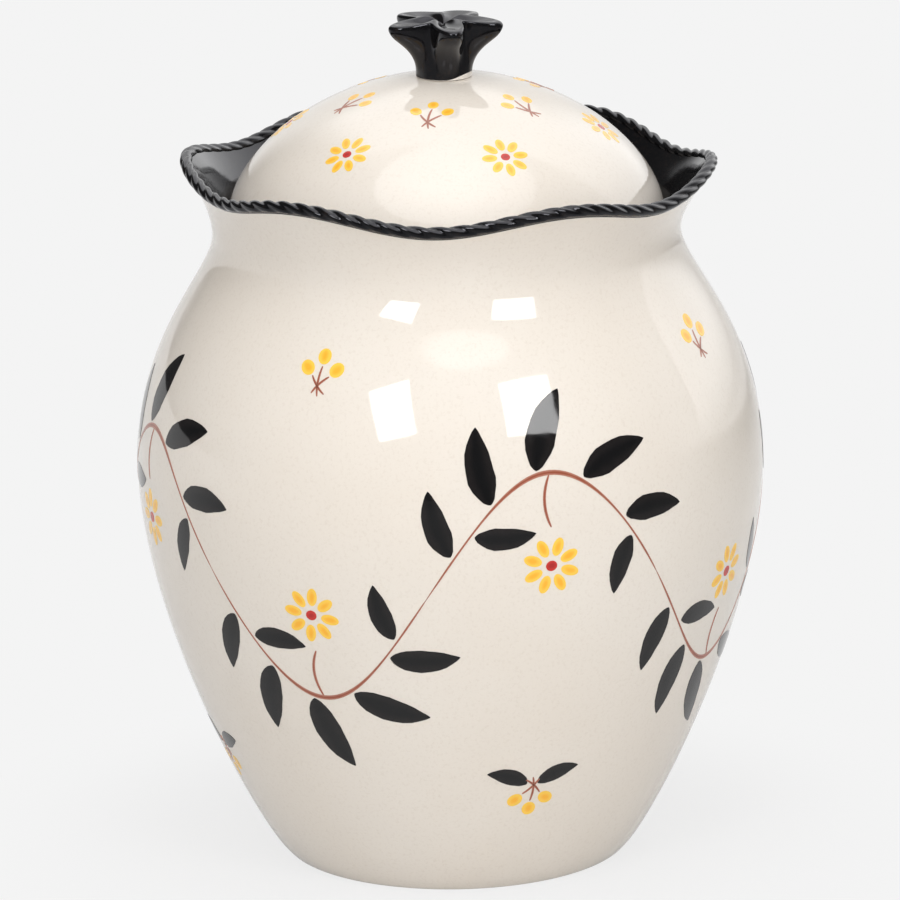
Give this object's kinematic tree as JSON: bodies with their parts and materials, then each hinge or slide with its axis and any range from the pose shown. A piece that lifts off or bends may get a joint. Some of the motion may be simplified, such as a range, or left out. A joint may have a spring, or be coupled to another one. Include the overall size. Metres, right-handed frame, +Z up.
{
  "type": "cookie jar",
  "caption": "Full-bellied glazed stoneware cookie jar with a wavy rope-edged collar and a domed lid that lifts off by a flower knob.",
  "frame": {"origin": "centre of the foot, on the surface that the jar stands on", "axes": "+Z up along the jar's and the lid's common axis, -Y towards the front of the picture"},
  "size_m": [0.2086, 0.2086, 0.2828],
  "materials": {
    "cream_glaze": "gloss cream glaze with small painted flowers",
    "black_glaze": "gloss black glaze",
    "seal_rubber": "matte translucent silicone"
  },
  "bodies": {
    "jar": {"jar_body": "cream_glaze", "rim_rope": "black_glaze"},
    "seal": {"lid_seal": "seal_rubber"},
    "lid": {"lid_shell": "cream_glaze", "lid_knob": "black_glaze"}
  },
  "joints": [
    {"name": "lid_lift", "type": "slide", "parent": "jar", "child": "seal", "axis": [0, 0, 1], "range_m": [0, 0.12]},
    {"name": "lid_turn", "type": "hinge", "parent": "seal", "child": "lid", "pos_m": [0, 0, 0.212], "axis": [0, 0, 1], "continuous": true}
  ]
}
